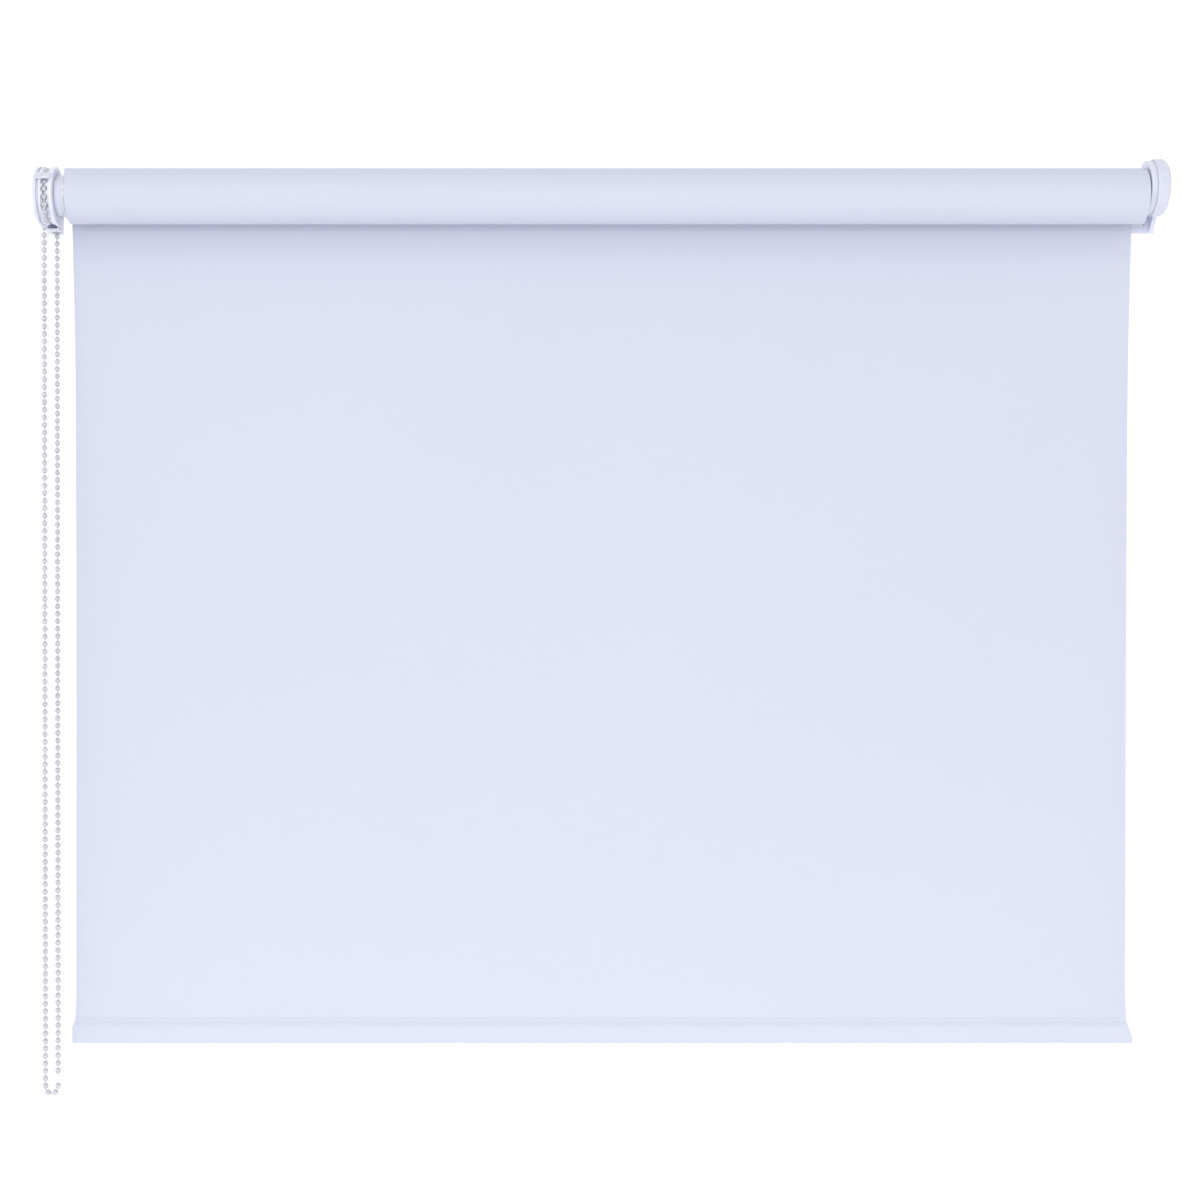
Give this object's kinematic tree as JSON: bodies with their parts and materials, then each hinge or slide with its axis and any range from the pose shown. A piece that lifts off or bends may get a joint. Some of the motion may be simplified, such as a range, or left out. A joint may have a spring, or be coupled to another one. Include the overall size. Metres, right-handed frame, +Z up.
{
  "type": "roller blind",
  "caption": "Wall-mounted roller blind: blackout cloth on a tube between two round-capped brackets, with a bead chain drive and a weighted hem.",
  "frame": {"origin": "middle of the four wall screw holes, on the wall's face", "axes": "+X to the right seen from the room, along the roller; -Y into the room; +Z up"},
  "size_m": [0.9001, 0.0503, 0.7491],
  "materials": {
    "bracket_plastic": "white moulded plastic, satin gloss",
    "wheel_plastic": "white acetal, smooth",
    "hub_plastic": "white nylon, glossy",
    "spring_steel": "drawn steel wire",
    "pin_steel": "ground steel",
    "bush_plastic": "natural acetal",
    "tube_aluminium": "extruded, mill finish",
    "tape": "white adhesive tape",
    "blackout_cloth": "white coated polyester blackout cloth, fine weave",
    "bar_aluminium": "extruded, mill finish",
    "bar_plastic": "white polypropylene",
    "bead_plastic": "white acetal beads on a white polyester cord",
    "connector_plastic": "clear polycarbonate"
  },
  "bodies": {
    "brackets": {"drive_bracket": "bracket_plastic", "drive_cover": "bracket_plastic", "chain_guide": "bracket_plastic", "drive_post": "hub_plastic", "hub_clip": "spring_steel", "idle_bracket": "bracket_plastic", "idle_cover": "bracket_plastic", "idle_socket": "bracket_plastic", "fabric_drop": "blackout_cloth", "bead_chain": "bead_plastic", "chain_connector": "connector_plastic"},
    "roller": {"roller_tube": "tube_aluminium", "drive_hub": "hub_plastic", "fabric_tape": "tape", "fabric_roll": "blackout_cloth", "idle_plug": "hub_plastic", "idle_bush": "bush_plastic"},
    "chain_wheel": {"chain_wheel": "wheel_plastic", "wheel_beads": "bead_plastic", "brake_spring_a": "spring_steel", "brake_spring_b": "spring_steel"},
    "idle_pin": {"idle_pin": "pin_steel", "pin_spring": "spring_steel"},
    "bottom_bar": {"hem_pocket": "blackout_cloth", "bottom_bar": "bar_aluminium", "bar_end_left": "bar_plastic", "bar_end_right": "bar_plastic"}
  },
  "joints": [
    {"name": "roller_turn", "type": "hinge", "parent": "brackets", "child": "roller", "pos_m": [0, -0.027, -0.002], "axis": [1, 0, 0], "range_deg": [0, 1611.43]},
    {"name": "wheel_turn", "type": "hinge", "parent": "brackets", "child": "chain_wheel", "pos_m": [-0.4413, -0.027, -0.002], "axis": [1, 0, 0], "range_deg": [0, 1611.43]},
    {"name": "bar_lift", "type": "slide", "parent": "brackets", "child": "bottom_bar", "axis": [0, 0, 1], "range_m": [0, 0.62438], "deforming": ["fabric_drop"]},
    {"name": "pin_push", "type": "slide", "parent": "brackets", "child": "idle_pin", "axis": [-1, 0, 0], "range_m": [0, 0.006], "stiffness_N_per_m": 900, "springref_m": -0.004}
  ],
  "couplings": [
    {"joint": "wheel_turn", "follows": "roller_turn", "ratio": 1},
    {"joint": "bar_lift", "follows": "roller_turn", "m_per_rad": 0.0222}
  ]
}
